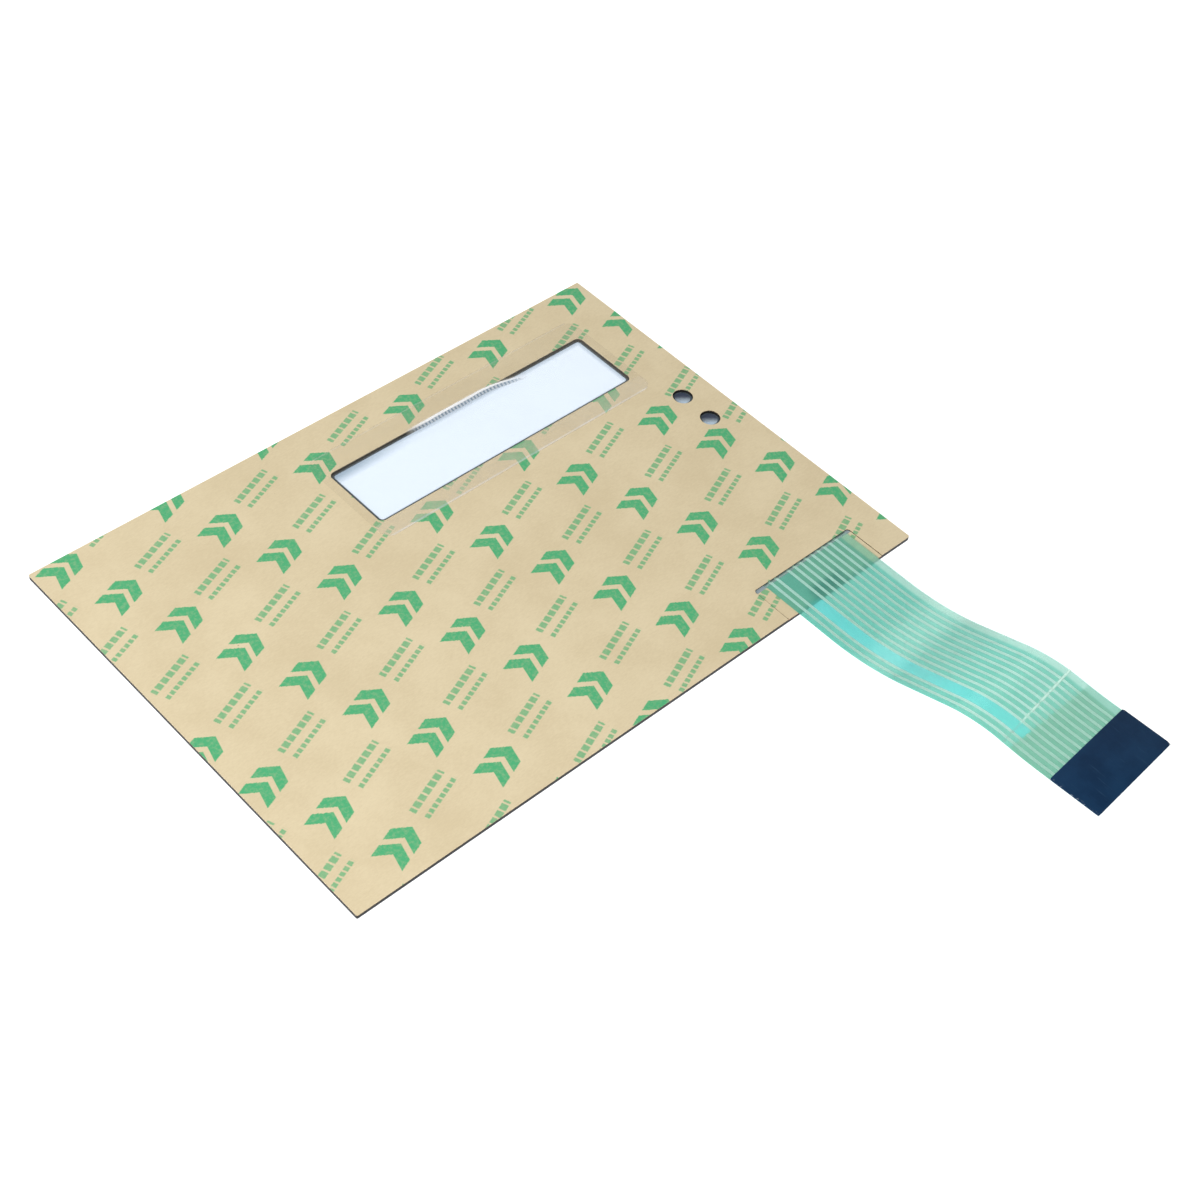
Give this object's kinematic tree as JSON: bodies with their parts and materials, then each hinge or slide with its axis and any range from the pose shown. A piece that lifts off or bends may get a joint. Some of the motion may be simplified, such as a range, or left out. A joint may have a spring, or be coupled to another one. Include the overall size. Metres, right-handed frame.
{
  "type": "membrane keypad",
  "caption": "Flat laminated membrane keypad with a display window, lamp holes, a peel-off adhesive back and a flat printed tail with a stiffened contact end.",
  "frame": {"origin": "middle of the panel on its front face", "axes": "+Z from the front face to the adhesive rear, +Y to the window side, and the tail leaves towards -Y"},
  "size_m": [0.21, 0.2535, 0.0141],
  "materials": {
    "clear_film": "clear glossy polyester",
    "dark_print": "opaque screen print",
    "key_print": "opaque screen print",
    "black_adhesive": "dark cut edge",
    "circuit_film": "clear polyester, tinted by the coat behind it",
    "silver": "printed conductive silver",
    "clear_adhesive": "clear acrylic adhesive",
    "liner": "tan coated kraft paper with a green print",
    "insulation": "green translucent coat",
    "carbon": "printed carbon",
    "stiffener": "dark blue satin film"
  },
  "bodies": {
    "root": {"overlay_film": "clear_film", "overlay_print": "dark_print", "key_print": "key_print", "overlay_adhesive": "black_adhesive", "front_circuit_film": "circuit_film", "row_silver": "silver", "spacer": "black_adhesive", "bridge_dots": "silver", "rear_silver": "silver", "rear_circuit_film": "circuit_film", "rear_adhesive": "clear_adhesive", "release_liner": "liner", "tab_adhesive": "clear_adhesive", "liner_tab": "liner", "window_film": "clear_film", "tail_insulation": "insulation", "contact_carbon": "carbon", "stiffener_adhesive": "clear_adhesive", "tail_stiffener": "stiffener"}
  },
  "joints": []
}
